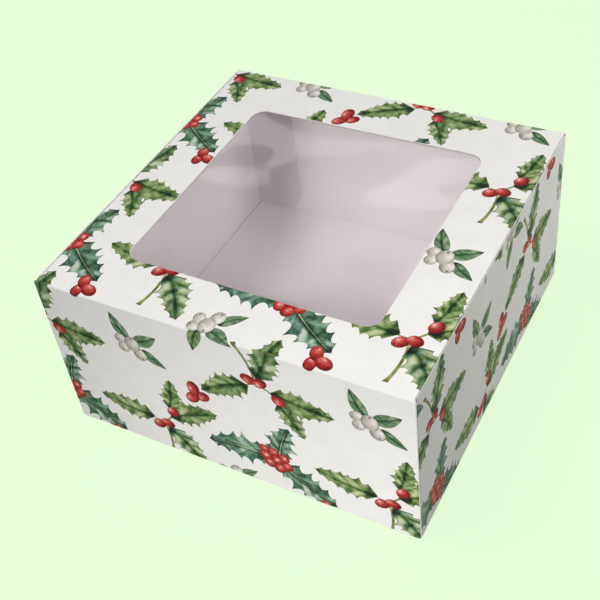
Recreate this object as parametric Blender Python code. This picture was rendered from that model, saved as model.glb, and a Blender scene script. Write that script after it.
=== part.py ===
"""A windowed cake box folded from printed board: a tray with glued corners, a lid that turns up
on the back wall, and a drop front that hangs from the lid over the tray's front wall.
X runs left to right, Y from front to back, Z up. The closed box stands on z = 0."""

import math

import bmesh
import bpy
from mathutils import Vector

# Outside of the closed box
BOX_WIDTH = 0.254
BOX_DEPTH = 0.254
BOX_HEIGHT = 0.127

# Board, clearances and folds
BOARD = 0.0006
FIT_GAP = 0.0003
CREASE_GAP = 0.0001
FOLD_SHARE = 0.85
FOLD_SEGMENTS = 4
NOSE_SEGMENTS = 8
CORNER_SEGMENTS = 6
SMOOTH_ANGLE = 35.0
SAME_PLACE = 1e-6

# Window in the lid
WINDOW_WIDTH = 0.173
WINDOW_DEPTH = 0.172
WINDOW_FORWARD = 0.0012
WINDOW_RADIUS = 0.010
WINDOW_SEGMENTS = 12

# Clear film under the window and the glue lines that hold it
FILM_THICKNESS = 0.0002
FILM_OVERLAP = 0.014
FILM_CORNER = 0.003
FILM_GLUE_WIDTH = 0.006
FILM_GLUE_INSET = 0.004

# Glue between two boards
GLUE_THICKNESS = 0.0002
GLUE_SKIN = 0.00005

# Corner tabs of the side walls
TAB_WIDTH = 0.041
TAB_CUT_WIDTH = 0.008
TAB_CUT_HEIGHT = 0.014
TAB_FLOOR_GAP = 0.0008
TAB_TOP_GAP = 0.0008
TAB_GLUE_WIDTH = 0.024
TAB_GLUE_MARGIN = 0.007

# Corners and edges of walls and flaps
SIDE_WALL_BACK_RADIUS = 0.003
SIDE_WALL_FRONT_RADIUS = 0.0015
FRONT_WALL_RADIUS = 0.002
FRONT_FLAP_RADIUS = 0.002
FRONT_FLAP_LIFT = 0.0003

# Dust flaps on the sides of the lid
DUST_FLAP_DROP = 0.038
DUST_FLAP_END_GAP = 0.0012
DUST_FLAP_TAPER = 15.0
DUST_FLAP_RADIUS = 0.006

# Colours
WHITE_BOARD = (0.88, 0.87, 0.85)
INNER_BOARD = (0.80, 0.78, 0.76)
DRIED_GLUE = (0.78, 0.72, 0.55)
CLEAR_FILM = (0.90, 0.92, 0.92)
BOARD_ROUGHNESS = 0.55
INNER_ROUGHNESS = 0.8
GLUE_ROUGHNESS = 0.4
FILM_ROUGHNESS = 0.08
FILM_ALPHA = 0.3

# Planes that several pieces share
HALF_WIDTH = BOX_WIDTH / 2
HALF_DEPTH = BOX_DEPTH / 2
BOND = GLUE_THICKNESS + 2 * GLUE_SKIN
FRONT_WALL_FACE = -HALF_DEPTH + BOARD + FIT_GAP
FRONT_TAB_FACE = FRONT_WALL_FACE + BOARD + BOND
BACK_WALL_INNER = HALF_DEPTH - BOARD
BACK_TAB_INNER = BACK_WALL_INNER - BOND - BOARD
SIDE_INNER = HALF_WIDTH - BOARD
LID_UNDER = BOX_HEIGHT - BOARD
LID_HALF_WIDTH = SIDE_INNER - FIT_GAP
LID_HINGE_Y = HALF_DEPTH - BOARD / 2
FLAP_HINGE_Y = -HALF_DEPTH + BOARD / 2
HINGE_Z = BOX_HEIGHT - BOARD / 2
LID_NOSE_X = LID_HALF_WIDTH - BOARD / 2
DUST_HINGE_X = LID_HALF_WIDTH - BOARD
DUST_HINGE_Z = LID_UNDER


def clear_scene():
    for old in list(bpy.data.objects):
        bpy.data.objects.remove(old, do_unlink=True)


def make_material(name, colour, roughness, alpha=1.0):
    material = bpy.data.materials.new(name)
    material.use_nodes = True
    shader = material.node_tree.nodes["Principled BSDF"]
    shader.inputs["Base Color"].default_value = (*colour, 1.0)
    shader.inputs["Roughness"].default_value = roughness
    shader.inputs["Metallic"].default_value = 0.0
    shader.inputs["Alpha"].default_value = alpha
    material.diffuse_color = (*colour, alpha)
    return material


def printed_board(name):
    return make_material(name + "_board", WHITE_BOARD, BOARD_ROUGHNESS)


def plain_board(name):
    return make_material(name + "_board", INNER_BOARD, INNER_ROUGHNESS)


def dried_glue(name):
    return make_material(name + "_glue", DRIED_GLUE, GLUE_ROUGHNESS)


def finish_object(name, mesh_data, origin, material):
    """Turn a bmesh in world coordinates into an object whose origin is at the given point."""
    bmesh.ops.recalc_face_normals(mesh_data, faces=mesh_data.faces)
    bmesh.ops.translate(mesh_data, verts=mesh_data.verts, vec=-Vector(origin))
    mesh = bpy.data.meshes.new(name)
    mesh_data.to_mesh(mesh)
    mesh_data.free()
    mesh.shade_smooth()
    mesh.set_sharp_from_angle(angle=math.radians(SMOOTH_ANGLE))
    obj = bpy.data.objects.new(name, mesh)
    obj.location = origin
    if material is not None:
        mesh.materials.append(material)
    bpy.context.scene.collection.objects.link(obj)
    return obj


def rounded_outline(corners, segments=CORNER_SEGMENTS):
    """Outline through (u, v, radius) corners, each rounded by an arc where its radius isn't 0."""
    outline = []
    count = len(corners)
    for i, (u, v, radius) in enumerate(corners):
        here = Vector((u, v))
        if radius <= 0:
            outline.append(here)
            continue
        before = (Vector(corners[i - 1][:2]) - here).normalized()
        after = (Vector(corners[(i + 1) % count][:2]) - here).normalized()
        half_angle = before.angle(after) / 2
        reach = radius / math.tan(half_angle)
        centre = here + (before + after).normalized() * radius / math.sin(half_angle)
        start = here + before * reach - centre
        end = here + after * reach - centre
        sweep = start.angle_signed(end)
        for step in range(segments + 1):
            angle = -sweep * step / segments
            turned = Vector((
                start.x * math.cos(angle) - start.y * math.sin(angle),
                start.x * math.sin(angle) + start.y * math.cos(angle),
            ))
            outline.append(centre + turned)
    return outline


def extrude_outline(outline, place, low, high):
    """Solid between two depths of a flat outline. place turns (u, v, depth) into a point."""
    mesh_data = bmesh.new()
    bottom = [mesh_data.verts.new(place(p[0], p[1], low)) for p in outline]
    top = [mesh_data.verts.new(place(p[0], p[1], high)) for p in outline]
    mesh_data.faces.new(reversed(bottom))
    mesh_data.faces.new(top)
    for i in range(len(outline)):
        j = (i + 1) % len(outline)
        mesh_data.faces.new((bottom[i], bottom[j], top[j], top[i]))
    return mesh_data


def facing_up(u, v, depth):
    return Vector((u, v, depth))


def facing_front(u, v, depth):
    return Vector((u, depth, v))


def facing_side(u, v, depth):
    return Vector((depth, u, v))


def round_fold(mesh_data, is_fold):
    """Round the long outer edge where a wall is folded up from the floor."""
    edges = [edge for edge in mesh_data.edges if is_fold(edge)]
    bmesh.ops.bevel(
        mesh_data,
        geom=edges,
        offset=BOARD * FOLD_SHARE,
        offset_type="OFFSET",
        segments=FOLD_SEGMENTS,
        profile=0.5,
        affect="EDGES",
    )


def on_fold_line(axis, outer):
    """Test for the edge that lies at z = 0 on the outer face of a wall."""

    def test(edge):
        return all(
            abs(vert.co.z) < SAME_PLACE and abs(vert.co[axis] - outer) < SAME_PLACE
            for vert in edge.verts
        )

    return test


def make_floor_panel():
    left = -SIDE_INNER + CREASE_GAP
    right = SIDE_INNER - CREASE_GAP
    front = FRONT_WALL_FACE + BOARD + CREASE_GAP
    back = BACK_WALL_INNER - CREASE_GAP
    outline = [(left, front), (right, front), (right, back), (left, back)]
    solid = extrude_outline(outline, facing_up, 0.0, BOARD)
    finish_object("floor_panel", solid, (0, 0, 0), plain_board("floor_panel"))


def make_front_wall():
    """The tray's own front wall, behind the drop front. The lid closes over its top edge."""
    top = LID_UNDER - FIT_GAP
    corners = [
        (-HALF_WIDTH, 0.0, 0.0),
        (HALF_WIDTH, 0.0, 0.0),
        (HALF_WIDTH, top, FRONT_WALL_RADIUS),
        (-HALF_WIDTH, top, FRONT_WALL_RADIUS),
    ]
    outline = rounded_outline(corners)
    solid = extrude_outline(outline, facing_front, FRONT_WALL_FACE, FRONT_WALL_FACE + BOARD)
    round_fold(solid, on_fold_line(1, FRONT_WALL_FACE))
    finish_object("front_wall", solid, (0, 0, 0), printed_board("front_wall"))


def make_back_wall():
    """The back wall ends under the round crease of the lid."""
    top = LID_UNDER - CREASE_GAP
    corners = [
        (-HALF_WIDTH, 0.0, 0.0),
        (HALF_WIDTH, 0.0, 0.0),
        (HALF_WIDTH, top, 0.0),
        (-HALF_WIDTH, top, 0.0),
    ]
    outline = rounded_outline(corners)
    solid = extrude_outline(outline, facing_front, BACK_WALL_INNER, HALF_DEPTH)
    round_fold(solid, on_fold_line(1, HALF_DEPTH))
    finish_object("back_wall", solid, (0, 0, 0), printed_board("back_wall"))


def make_side_wall(name, side):
    """A side wall reaches the level of the lid, so that its raw top edge shows beside the lid."""
    front = FRONT_WALL_FACE + BOARD + CREASE_GAP
    back = BACK_WALL_INNER - CREASE_GAP
    corners = [
        (front, 0.0, 0.0),
        (back, 0.0, 0.0),
        (back, BOX_HEIGHT, SIDE_WALL_BACK_RADIUS),
        (front, BOX_HEIGHT, SIDE_WALL_FRONT_RADIUS),
    ]
    outline = rounded_outline(corners)
    solid = extrude_outline(outline, facing_side, side * SIDE_INNER, side * HALF_WIDTH)
    round_fold(solid, on_fold_line(0, side * HALF_WIDTH))
    finish_object(name, solid, (0, 0, 0), printed_board(name))


def tab_outline(side):
    """Outline of a corner tab, from the side wall inwards, with its free corners cut off."""
    root = side * (SIDE_INNER - CREASE_GAP)
    tip = root - side * TAB_WIDTH
    cut = tip + side * TAB_CUT_WIDTH
    low = BOARD + TAB_FLOOR_GAP
    high = LID_UNDER - TAB_TOP_GAP
    return [
        (root, low),
        (cut, low),
        (tip, low + TAB_CUT_HEIGHT),
        (tip, high - TAB_CUT_HEIGHT),
        (cut, high),
        (root, high),
    ]


def make_corner_tab(name, side, face):
    solid = extrude_outline(tab_outline(side), facing_front, face, face + BOARD)
    finish_object(name, solid, (0, 0, 0), plain_board(name))


def make_tab_glue(name, side, face):
    """A line of dried glue between a tab and the wall that it is glued to."""
    inner = side * (SIDE_INNER - TAB_GLUE_MARGIN)
    outer = inner - side * TAB_GLUE_WIDTH
    low = BOARD + TAB_FLOOR_GAP + TAB_GLUE_MARGIN
    high = LID_UNDER - TAB_TOP_GAP - TAB_GLUE_MARGIN
    outline = [(inner, low), (outer, low), (outer, high), (inner, high)]
    solid = extrude_outline(outline, facing_front, face, face + GLUE_THICKNESS)
    finish_object(name, solid, (0, 0, 0), dried_glue(name))


def window_outline():
    """Rounded outline of the window, counter-clockwise from above."""
    half_width = WINDOW_WIDTH / 2
    front = -WINDOW_DEPTH / 2 - WINDOW_FORWARD
    back = WINDOW_DEPTH / 2 - WINDOW_FORWARD
    corners = [
        (-half_width, front, WINDOW_RADIUS),
        (half_width, front, WINDOW_RADIUS),
        (half_width, back, WINDOW_RADIUS),
        (-half_width, back, WINDOW_RADIUS),
    ]
    return rounded_outline(corners, WINDOW_SEGMENTS)


def make_window_cutter():
    """A block with the window's outline, which cuts the lid and isn't itself a part."""
    low = LID_UNDER - BOARD
    high = BOX_HEIGHT + BOARD
    solid = extrude_outline(window_outline(), facing_up, low, high)
    cutter = finish_object("window_cutter", solid, (0, 0, 0), None)
    cutter.hide_render = True
    cutter.display_type = "WIRE"
    return cutter


def make_lid_panel():
    """The lid: a board with round creases on its four edges and the window cut through it."""
    radius = BOARD / 2
    mesh_data = bmesh.new()
    rings = []
    for step in range(NOSE_SEGMENTS + 1):
        angle = math.pi * (step / NOSE_SEGMENTS - 0.5)
        out = radius * math.cos(angle)
        height = HINGE_Z + radius * math.sin(angle)
        right = LID_NOSE_X + out
        front = FLAP_HINGE_Y - out
        back = LID_HINGE_Y + out
        corners = [(-right, front), (right, front), (right, back), (-right, back)]
        rings.append([mesh_data.verts.new((x, y, height)) for x, y in corners])
    mesh_data.faces.new(reversed(rings[0]))
    mesh_data.faces.new(rings[-1])
    for below, above in zip(rings, rings[1:]):
        for i in range(len(below)):
            j = (i + 1) % len(below)
            mesh_data.faces.new((below[i], below[j], above[j], above[i]))
    origin = (0, LID_HINGE_Y, HINGE_Z)
    lid = finish_object("lid_panel", mesh_data, origin, printed_board("lid_panel"))
    cut = lid.modifiers.new("window", "BOOLEAN")
    cut.operation = "DIFFERENCE"
    cut.solver = "EXACT"
    cut.object = make_window_cutter()


def film_edges():
    """Left, right, front and back edge of the film."""
    half_width = WINDOW_WIDTH / 2 + FILM_OVERLAP
    half_depth = WINDOW_DEPTH / 2 + FILM_OVERLAP
    return -half_width, half_width, -half_depth - WINDOW_FORWARD, half_depth - WINDOW_FORWARD


def make_window_film():
    left, right, front, back = film_edges()
    corners = [
        (left, front, FILM_CORNER),
        (right, front, FILM_CORNER),
        (right, back, FILM_CORNER),
        (left, back, FILM_CORNER),
    ]
    top = LID_UNDER - BOND
    solid = extrude_outline(rounded_outline(corners), facing_up, top - FILM_THICKNESS, top)
    clear = make_material("window_film_clear", CLEAR_FILM, FILM_ROUGHNESS, FILM_ALPHA)
    finish_object("window_film", solid, (0, LID_HINGE_Y, HINGE_Z), clear)


def make_film_glue(name, across, side):
    """One glue line along an edge of the film. The two across lines run the film's full width."""
    left, right, front, back = film_edges()
    left, right = left + FILM_GLUE_INSET, right - FILM_GLUE_INSET
    front, back = front + FILM_GLUE_INSET, back - FILM_GLUE_INSET
    if across:
        edge = back if side > 0 else front
        inner = edge - side * FILM_GLUE_WIDTH
        outline = [(left, edge), (right, edge), (right, inner), (left, inner)]
    else:
        edge = right if side > 0 else left
        inner = edge - side * FILM_GLUE_WIDTH
        near = front + FILM_GLUE_WIDTH + CREASE_GAP
        far = back - FILM_GLUE_WIDTH - CREASE_GAP
        outline = [(edge, near), (edge, far), (inner, far), (inner, near)]
    top = LID_UNDER - GLUE_SKIN
    solid = extrude_outline(outline, facing_up, top - GLUE_THICKNESS, top)
    finish_object(name, solid, (0, LID_HINGE_Y, HINGE_Z), dried_glue(name))


def make_front_flap():
    """The drop front: as wide as the box, from the lid's front crease down to the table."""
    top = LID_UNDER - CREASE_GAP
    corners = [
        (-HALF_WIDTH, FRONT_FLAP_LIFT, FRONT_FLAP_RADIUS),
        (HALF_WIDTH, FRONT_FLAP_LIFT, FRONT_FLAP_RADIUS),
        (HALF_WIDTH, top, 0.0),
        (-HALF_WIDTH, top, 0.0),
    ]
    outline = rounded_outline(corners)
    solid = extrude_outline(outline, facing_front, -HALF_DEPTH, -HALF_DEPTH + BOARD)
    origin = (0, FLAP_HINGE_Y, HINGE_Z)
    finish_object("front_flap", solid, origin, printed_board("front_flap"))


def make_dust_flap(name, side):
    """A side flap of the lid, tapered so that it clears the corner tabs as the lid turns. It turns
    inwards about the inner corner of its crease."""
    top = LID_UNDER - CREASE_GAP
    low = LID_UNDER - DUST_FLAP_DROP
    front = FRONT_TAB_FACE + BOARD + DUST_FLAP_END_GAP
    back = BACK_TAB_INNER - DUST_FLAP_END_GAP
    lean = (top - low) * math.tan(math.radians(DUST_FLAP_TAPER))
    corners = [
        (front, top, 0.0),
        (front + lean, low, DUST_FLAP_RADIUS),
        (back - lean, low, DUST_FLAP_RADIUS),
        (back, top, 0.0),
    ]
    inner = side * DUST_HINGE_X
    solid = extrude_outline(rounded_outline(corners), facing_side, inner, side * LID_HALF_WIDTH)
    origin = (inner, 0, DUST_HINGE_Z)
    finish_object(name, solid, origin, plain_board(name))


def build():
    clear_scene()
    make_floor_panel()
    make_front_wall()
    make_back_wall()
    make_side_wall("left_wall", -1)
    make_side_wall("right_wall", 1)
    for label, side in (("left", -1), ("right", 1)):
        make_corner_tab(f"front_{label}_tab", side, FRONT_TAB_FACE)
        make_corner_tab(f"back_{label}_tab", side, BACK_TAB_INNER)
        make_tab_glue(f"front_{label}_tab_glue", side, FRONT_TAB_FACE - BOND + GLUE_SKIN)
        make_tab_glue(f"back_{label}_tab_glue", side, BACK_TAB_INNER + BOARD + GLUE_SKIN)
        make_dust_flap(f"{label}_dust_flap", side)
        make_film_glue(f"film_glue_{label}", False, side)
    make_film_glue("film_glue_front", True, -1)
    make_film_glue("film_glue_back", True, 1)
    make_lid_panel()
    make_window_film()
    make_front_flap()


build()
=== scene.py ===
"""Looks of the windowed cake box: printed board, clear film, studio and camera."""

import random
from collections import namedtuple
from math import atan2, ceil, copysign, cos, floor, pi, radians, sin, tan

import bpy
import numpy as np
from mathutils import Euler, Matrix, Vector
from mathutils.geometry import delaunay_2d_cdt


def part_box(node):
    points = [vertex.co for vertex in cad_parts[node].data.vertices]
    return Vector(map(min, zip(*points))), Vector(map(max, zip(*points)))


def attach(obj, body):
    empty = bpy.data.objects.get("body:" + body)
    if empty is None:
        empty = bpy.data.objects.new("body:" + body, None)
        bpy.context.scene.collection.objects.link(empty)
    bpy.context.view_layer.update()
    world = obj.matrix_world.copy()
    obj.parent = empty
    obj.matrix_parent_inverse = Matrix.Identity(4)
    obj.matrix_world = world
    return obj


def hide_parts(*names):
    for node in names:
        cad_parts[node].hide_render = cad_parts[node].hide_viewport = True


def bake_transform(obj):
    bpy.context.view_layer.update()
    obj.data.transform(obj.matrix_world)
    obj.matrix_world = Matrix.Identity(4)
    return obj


# Sizes of the board in metres, equal to those of the solids
MM = 0.001
TO_MM = 1 / MM
BOARD = 0.0006
FOLD_INSIDE = 0.0003
FOLD = BOARD + FOLD_INSIDE
FOLD_ARC = FOLD * pi / 2
WINDOW_CORNER = 0.010
LID_COVER = 0.014
WALL_BACK_RADIUS = 0.003
WALL_FRONT_RADIUS = 0.0015
FLAP_RADIUS = 0.002
DUST_RADIUS = 0.006
DUST_TAPER = radians(15)
FLOOR_EDGE = 0.1263

# Lengths of the looks in metres. The painted shade along a floor crease starts and is full at the two places
# given for it.
CUT_LEAN = 0.00038
CREASE_SHADE = (FLOOR_EDGE - 0.0014, FLOOR_EDGE - 0.0004)
FIBRE_HEIGHT = 0.00008
SCATTER_DEPTH = 1.3 * BOARD

# Limits: nearness to the cut edge in metres, of drawn points in millimetres, and the angle of a sharp edge
CUT_NEAR = 2e-5
SAME_PLACE = 1e-4
SHARP = radians(35)

# Steps of the round parts
FOLD_STEPS = 6
CORNER_STEPS = 6
WINDOW_STEPS = 14
SPINE_STEPS = 8
SMOOTH_STEPS = 18
STEM_STEPS = 12
BERRY_STEPS = 26

# Material slots of a board, before those of the inks
OUTSIDE, INSIDE, EDGE = range(3)

# Directions on the box
UP = (0, 0, 1)
DOWN = (0, 0, -1)
FRONT = (0, -1, 0)
BACK = (0, 1, 0)

# Film in metres: its sag, its gap to the lid, how far in the glue reaches, and the width of the tight border
FILM_GRID = 90
FILM_SAG = 0.0001
FILM_SLACK = 0.00002
GLUE_REACH = 0.010
FILM_BORDER = 0.03
# Waves of the film round a middle level: height, radians per metre along x and y, start
FILM_LEVEL = 0.55
FILM_WAVES = ((0.30, 31, 13, 0.6), (0.22, -17, 38, 1.9), (0.12, 63, -29, 0.3))

# Print in millimetres: one repeat of the pattern, and where a repeat starts on each sheet
REPEAT_WIDTH = 160.0
REPEAT_HEIGHT = 140.0
PRINT_STARTS = {
    "lid": (-92.0, -124.0),
    "left_wall": (31.0, -58.0),
    "right_wall": (-63.0, -22.0),
    "front_wall": (-47.0, 12.0),
}
PRINT_SEED = 11
RIM = 0.7
# Width of the print past the lid's sides, which covers the dust flaps
DUST_PRINT = 45

# Camera, with its turn in degrees
CAMERA_PLACE = (0.2791, -0.4513, 0.5460)
CAMERA_TURN = (46.3145, 5.9861, 27.6966)
CAMERA_LENS = 63.06
SENSOR = 36.0

# Studio colours and lengths in metres
BACKGROUND = (0.8148, 1.0, 0.7011)
SHADED = 0.12
FLOOR_LIGHT = 0.66
FLOOR_REACH = 6.0
FLOOR_DROP = 0.0002
AMBIENT = 0.165
AMBIENT_COLOUR = (1.0, 0.99, 0.98)
PANEL_COLOUR = (1.0, 0.95, 0.96)
CLEAR = (1.0, 1.0, 1.0)
FLOOR_AND_RIGHT = ("studio_floor", "right_wall_board")
# Lights: name, place, aim, size, watts, and the objects that they don't light
LIGHTS = (
    ("left_light", (-0.45, -0.35, 1.50), (0.0, 0.0, 0.1), (0.8, 0.8), 12.8, ()),
    ("near_light", (0.40, -0.40, 0.50), (0.05, 0.0, 0.1), (0.3, 0.3), 1.44, FLOOR_AND_RIGHT),
    ("front_light", (0.15, -0.327, 0.02), (0.15, -0.127, 0.02), (0.5, 0.03), 0.375, FLOOR_AND_RIGHT),
    ("side_light", (0.70, 0.45, 0.30), (0.127, 0.08, 0.06), (0.3, 0.3), 2.75, ("studio_floor",)),
)
# Ceiling panel over the box: left, near, right and far end
CEILING = (-2.4, 0.5, 0.1, 2.6)
CEILING_HEIGHT = 1.52
CEILING_BORDER = 0.35
# Light shapes over the box that only the film mirrors: glow, and corners as (x, y)
SHAPE_HEIGHT = 1.50
LIGHT_SHAPES = {
    "corner_shape": (1.0, (
        (-1.36, 1.60), (-1.34, 1.90), (-1.26, 1.83), (-1.22, 1.80), (-1.18, 1.78), (-1.13, 1.765),
        (-1.09, 1.755), (-1.05, 1.645), (-1.10, 1.585), (-1.123, 1.591), (-1.117, 1.628), (-1.125, 1.662),
        (-1.144, 1.676), (-1.214, 1.668), (-1.253, 1.651), (-1.30, 1.605),
    )),
    "streak_shape": (0.65, (
        (-1.09, 1.755), (-1.0, 1.76), (-0.88, 1.786), (-0.80, 1.81), (-0.78, 1.765), (-1.05, 1.665),
    )),
    "band_shape": (0.85, (
        (-1.33, 1.50), (-1.26, 1.478), (-1.21, 1.468), (-1.15, 1.476), (-1.10, 1.493), (-1.065, 1.52),
        (-1.10, 1.585), (-1.133, 1.572), (-1.264, 1.53), (-1.31, 1.53),
    )),
    "wedge_shape": (0.85, (
        (-0.794, 1.547), (-0.775, 1.60), (-0.737, 1.663), (-0.692, 1.741), (-0.657, 1.782), (-0.56, 1.821),
        (-0.45, 1.84), (-0.45, 1.73), (-0.58, 1.70), (-0.627, 1.683), (-0.643, 1.663), (-0.615, 1.647),
        (-0.55, 1.637), (-0.45, 1.65), (-0.45, 1.62), (-0.637, 1.566), (-0.76, 1.535),
    )),
}


# Material helpers

class Value:
    """A number from a node or socket, for formulas in plain arithmetic."""

    def __init__(self, net, source):
        self.net = net
        self.source = source

    def __add__(self, other):
        return self.net.math("ADD", self, other)

    def __radd__(self, other):
        return self.net.math("ADD", other, self)

    def __sub__(self, other):
        return self.net.math("SUBTRACT", self, other)

    def __rsub__(self, other):
        return self.net.math("SUBTRACT", other, self)

    def __mul__(self, other):
        return self.net.math("MULTIPLY", self, other)

    def __abs__(self):
        return self.net.math("ABSOLUTE", self)


class Net:
    """Short calls for building the nodes of one material, or of the world."""

    def __init__(self, name, world=False):
        library = bpy.data.worlds if world else bpy.data.materials
        self.made = library.new(name)
        self.made.use_nodes = True
        self.tree = self.made.node_tree
        self.tree.nodes.clear()
        self.out = self.node("OutputWorld" if world else "OutputMaterial")

    def surface(self, shader):
        """The finished material or world, with this shader as its surface."""
        self.set(self.out.inputs["Surface"], shader)
        return self.made

    def node(self, kind, inputs=None, **settings):
        made = self.tree.nodes.new("ShaderNode" + kind)
        for key, value in settings.items():
            setattr(made, key, value)
        for key, value in (inputs or {}).items():
            self.set(made.inputs[key], value)
        return made

    def set(self, socket, value):
        """Link a socket or a node's first output, or set a number, a colour or a written colour."""
        if isinstance(value, Value):
            value = value.source
        if isinstance(value, bpy.types.Node):
            value = value.outputs[0]
        if isinstance(value, bpy.types.NodeSocket):
            self.tree.links.new(value, socket)
            return
        if isinstance(value, str):
            value = paint(value)
        socket.default_value = (*value, 1.0) if socket.type == "RGBA" else value

    def math(self, operation, *values):
        return Value(self, self.node("Math", dict(enumerate(values)), operation=operation))

    def size(self, x, y):
        """Length of the flat way (x, y)."""
        return self.math("SQRT", x * x + y * y)

    def spread(self, value, low, high, to_low=0.0, to_high=1.0):
        """Smooth change from to_low to to_high as the value goes from low to high."""
        inputs = dict(enumerate((value, low, high, to_low, to_high)))
        return Value(self, self.node("MapRange", inputs, interpolation_type="SMOOTHSTEP"))

    def mix(self, factor, first, second):
        return self.node("Mix", {0: factor, 6: first, 7: second}, data_type="RGBA").outputs[2]

    def ramp(self, factor, stops):
        made = self.node("ValToRGB", {"Fac": factor})
        elements = made.color_ramp.elements
        while len(elements) < len(stops):
            elements.new(0.5)
        for element, (place, colour) in zip(elements, stops):
            element.position = place
            element.color = (*paint(colour), 1.0)
        return made.outputs[0]

    def noise(self, vector, scale, detail=2.0, roughness=0.5, distortion=0.0):
        sizes = {"Scale": scale, "Detail": detail, "Roughness": roughness, "Distortion": distortion}
        return Value(self, self.node("TexNoise", {"Vector": vector, **sizes}))

    def apart(self, vector):
        return [Value(self, socket) for socket in self.node("SeparateXYZ", {0: vector}).outputs]

    def attribute(self, name):
        return self.apart(self.node("Attribute", attribute_name=name).outputs["Vector"])

    def vector(self, x, y, z):
        return self.node("CombineXYZ", {0: x, 1: y, 2: z}).outputs[0]

    def place(self):
        return self.node("TexCoord").outputs["Object"]

    def seen(self):
        """1 where the camera sees the surface, also through the film or in a mirror, and else 0."""
        path = self.node("LightPath").outputs
        direct = self.math("MAXIMUM", path["Is Camera Ray"], path["Is Transmission Ray"])
        return self.math("MAXIMUM", direct, path["Is Glossy Ray"])


def paint(code):
    """Linear colour of a written colour such as 'A0B1C2'."""
    parts = [int(code[i:i + 2], 16) / 255 for i in (0, 2, 4)]
    return tuple(p / 12.92 if p <= 0.04045 else ((p + 0.055) / 1.055) ** 2.4 for p in parts)


# Board, glue and film

def paper_surface(net, colour, roughness, fibre, sheen, scatter=0.0):
    """Board or ink with a fine fibre relief. Scatter is the share of the light that goes inside."""
    place = net.place()
    fine = net.noise(place, 2600.0, 3.0, 0.6)
    broad = net.noise(place, 240.0, 2.0, 0.5)
    relief = fine * 0.6 + broad * 0.4
    bump = net.node("Bump", {"Strength": fibre, "Distance": FIBRE_HEIGHT, "Height": relief})
    shine = net.spread(broad, 0.3, 0.7, roughness - 0.05, roughness + 0.05)
    inputs = {"Base Color": colour, "Roughness": shine, "Normal": bump, "Specular IOR Level": sheen}
    if scatter:
        inputs["Subsurface Weight"] = scatter
        inputs["Subsurface Radius"] = (1.0, 1.0, 1.0)
        inputs["Subsurface Scale"] = SCATTER_DEPTH
    return net.surface(net.node("BsdfPrincipled", inputs))


def mottled(net, low, high, scale=40.0):
    """A colour that drifts slightly over the board."""
    place = net.place()
    broad = net.noise(place, scale, 3.0, 0.6)
    fine = net.noise(place, 1400.0, 2.0, 0.5)
    blend = broad * 0.65 + fine * 0.35
    return net.mix(net.spread(blend, 0.3, 0.7), low, high)


def coated_board():
    net = Net("coated_board")
    return paper_surface(net, mottled(net, "F0EEEA", "F5F4F0", 60.0), 0.5, 0.15, 0.03)


def inner_board():
    """The plain inside of the walls and the lid, with a slight fibre."""
    net = Net("inner_board")
    fibre = net.noise(net.place(), 900.0, 4.0, 0.7, 0.6)
    base = mottled(net, "F1E9EA", "F6F0F0")
    colour = net.mix(net.spread(fibre, 0.58, 0.75, 0.0, 0.16), base, "DAD0CE")
    return paper_surface(net, colour, 0.75, 0.25, 0.02)


def tab_board():
    """The corner tabs, with the grain of the board across them, and a little greyer than the walls as painted
    shade in the corners.
    """
    net = Net("tab_board")
    # The greyer colours are painted shade of the inner corners
    return paper_surface(net, mottled(net, "DCD4D8", "E1DBDE"), 0.75, 0.45, 0.02)


def folded_board():
    """The floor's inner face, with painted shade along its four creases, where it meets the walls."""
    net = Net("folded_board")
    x, y, _ = net.apart(net.place())
    base = mottled(net, "EDE5E7", "F2ECED")
    side = net.spread(abs(x), *CREASE_SHADE)
    end = net.spread(abs(y), *CREASE_SHADE)
    # Painted shade in the inner corners: strong along the side creases, faint along the front and back ones
    crease_shade = net.math("MAXIMUM", side * 0.95, end * 0.1)
    return paper_surface(net, net.mix(crease_shade, base, "8E8484"), 0.75, 0.45, 0.02)


def raw_edge():
    """The cut edge of the board, with the layers of pulp between its two faces."""
    net = Net("raw_edge")
    strands = net.noise(net.place(), 1800.0, 4.0, 0.7)
    colour = net.mix(net.spread(strands, 0.35, 0.7), "E4DFD6", "F3F0EA")
    return paper_surface(net, colour, 0.85, 0.6, 0.03, 1.0)


def dried_glue():
    net = Net("dried_glue_line")
    streaks = net.noise(net.place(), 420.0, 3.0, 0.6, 0.8)
    colour = net.mix(net.spread(streaks, 0.3, 0.7), "D8CDAE", "EAE2CC")
    return paper_surface(net, colour, 0.35, 0.5, 0.5)


def clear_film():
    """Clear plastic film: it mirrors its surroundings faintly and has a light haze."""
    net = Net("clear_film_plastic")
    place = net.place()
    haze_noise = net.noise(place, 26.0, 3.0, 0.6)
    fine = net.noise(place, 90.0, 2.0, 0.5)
    bump = net.node("Bump", {"Strength": 0.01, "Distance": 0.0005, "Height": fine})
    clear = net.node("BsdfTransparent", {"Color": (0.995, 0.99, 0.995)})
    haze = net.node("BsdfDiffuse", {"Color": "E6DADD"})
    mirror = net.node("BsdfGlossy", {"Color": CLEAR, "Roughness": 0.03, "Normal": bump})
    share = net.spread(haze_noise, 0.3, 0.7, 0.006, 0.014)
    body = net.node("MixShader", {0: share, 1: clear, 2: haze})
    # Schlick's rule for plastic, the same from both sides of the film
    facing = net.node("LayerWeight", {"Blend": 0.5}).outputs["Facing"]
    edge = net.math("POWER", facing, 5.0) * 0.96 + 0.04
    return net.surface(net.node("MixShader", {0: edge, 1: body, 2: mirror}))


# Inks, with their colours from dark to pale

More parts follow.
